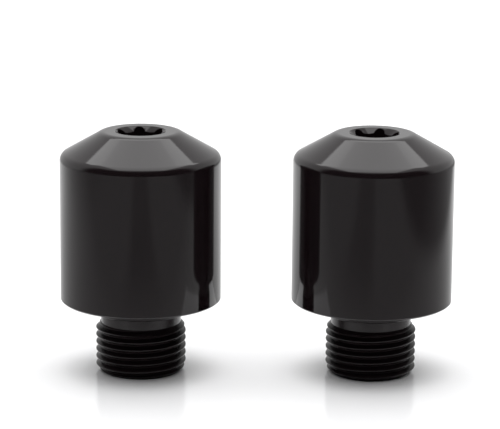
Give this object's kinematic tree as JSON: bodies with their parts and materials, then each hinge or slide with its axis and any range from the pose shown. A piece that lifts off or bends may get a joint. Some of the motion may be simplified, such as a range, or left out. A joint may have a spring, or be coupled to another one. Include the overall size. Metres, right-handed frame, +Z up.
{
  "type": "threaded handlebar bar end pair",
  "caption": "Black turned bar end weights with conical noses, hexagon drive sockets, spacer rings and threaded studs that screw into the ends of a handlebar.",
  "frame": {"origin": "on the standing surface, midway between the two bar ends' axes", "axes": "+X from the left bar end to the right one, +Y away from the viewer, +Z up along both axes from the threaded ends to the noses"},
  "size_m": [0.0781, 0.032, 0.0488],
  "materials": {
    "black_anodised_body": "fine turned, black anodised, satin gloss",
    "black_anodised_ring": "fine turned, black anodised, satin gloss",
    "black_oxide_stud": "turned and rolled thread, black oxide, lightly oiled"
  },
  "bodies": {
    "left_bar_end": {"left_body": "black_anodised_body", "left_threaded_stud": "black_oxide_stud", "left_spacer_ring": "black_anodised_ring"},
    "right_bar_end": {"right_body": "black_anodised_body", "right_threaded_stud": "black_oxide_stud", "right_spacer_ring": "black_anodised_ring"}
  },
  "joints": [
    {"name": "right_bar_end_lift", "type": "slide", "parent": "left_bar_end", "child": "right_bar_end", "axis": [0, 0, 1], "range_m": [0, 0.06]}
  ]
}
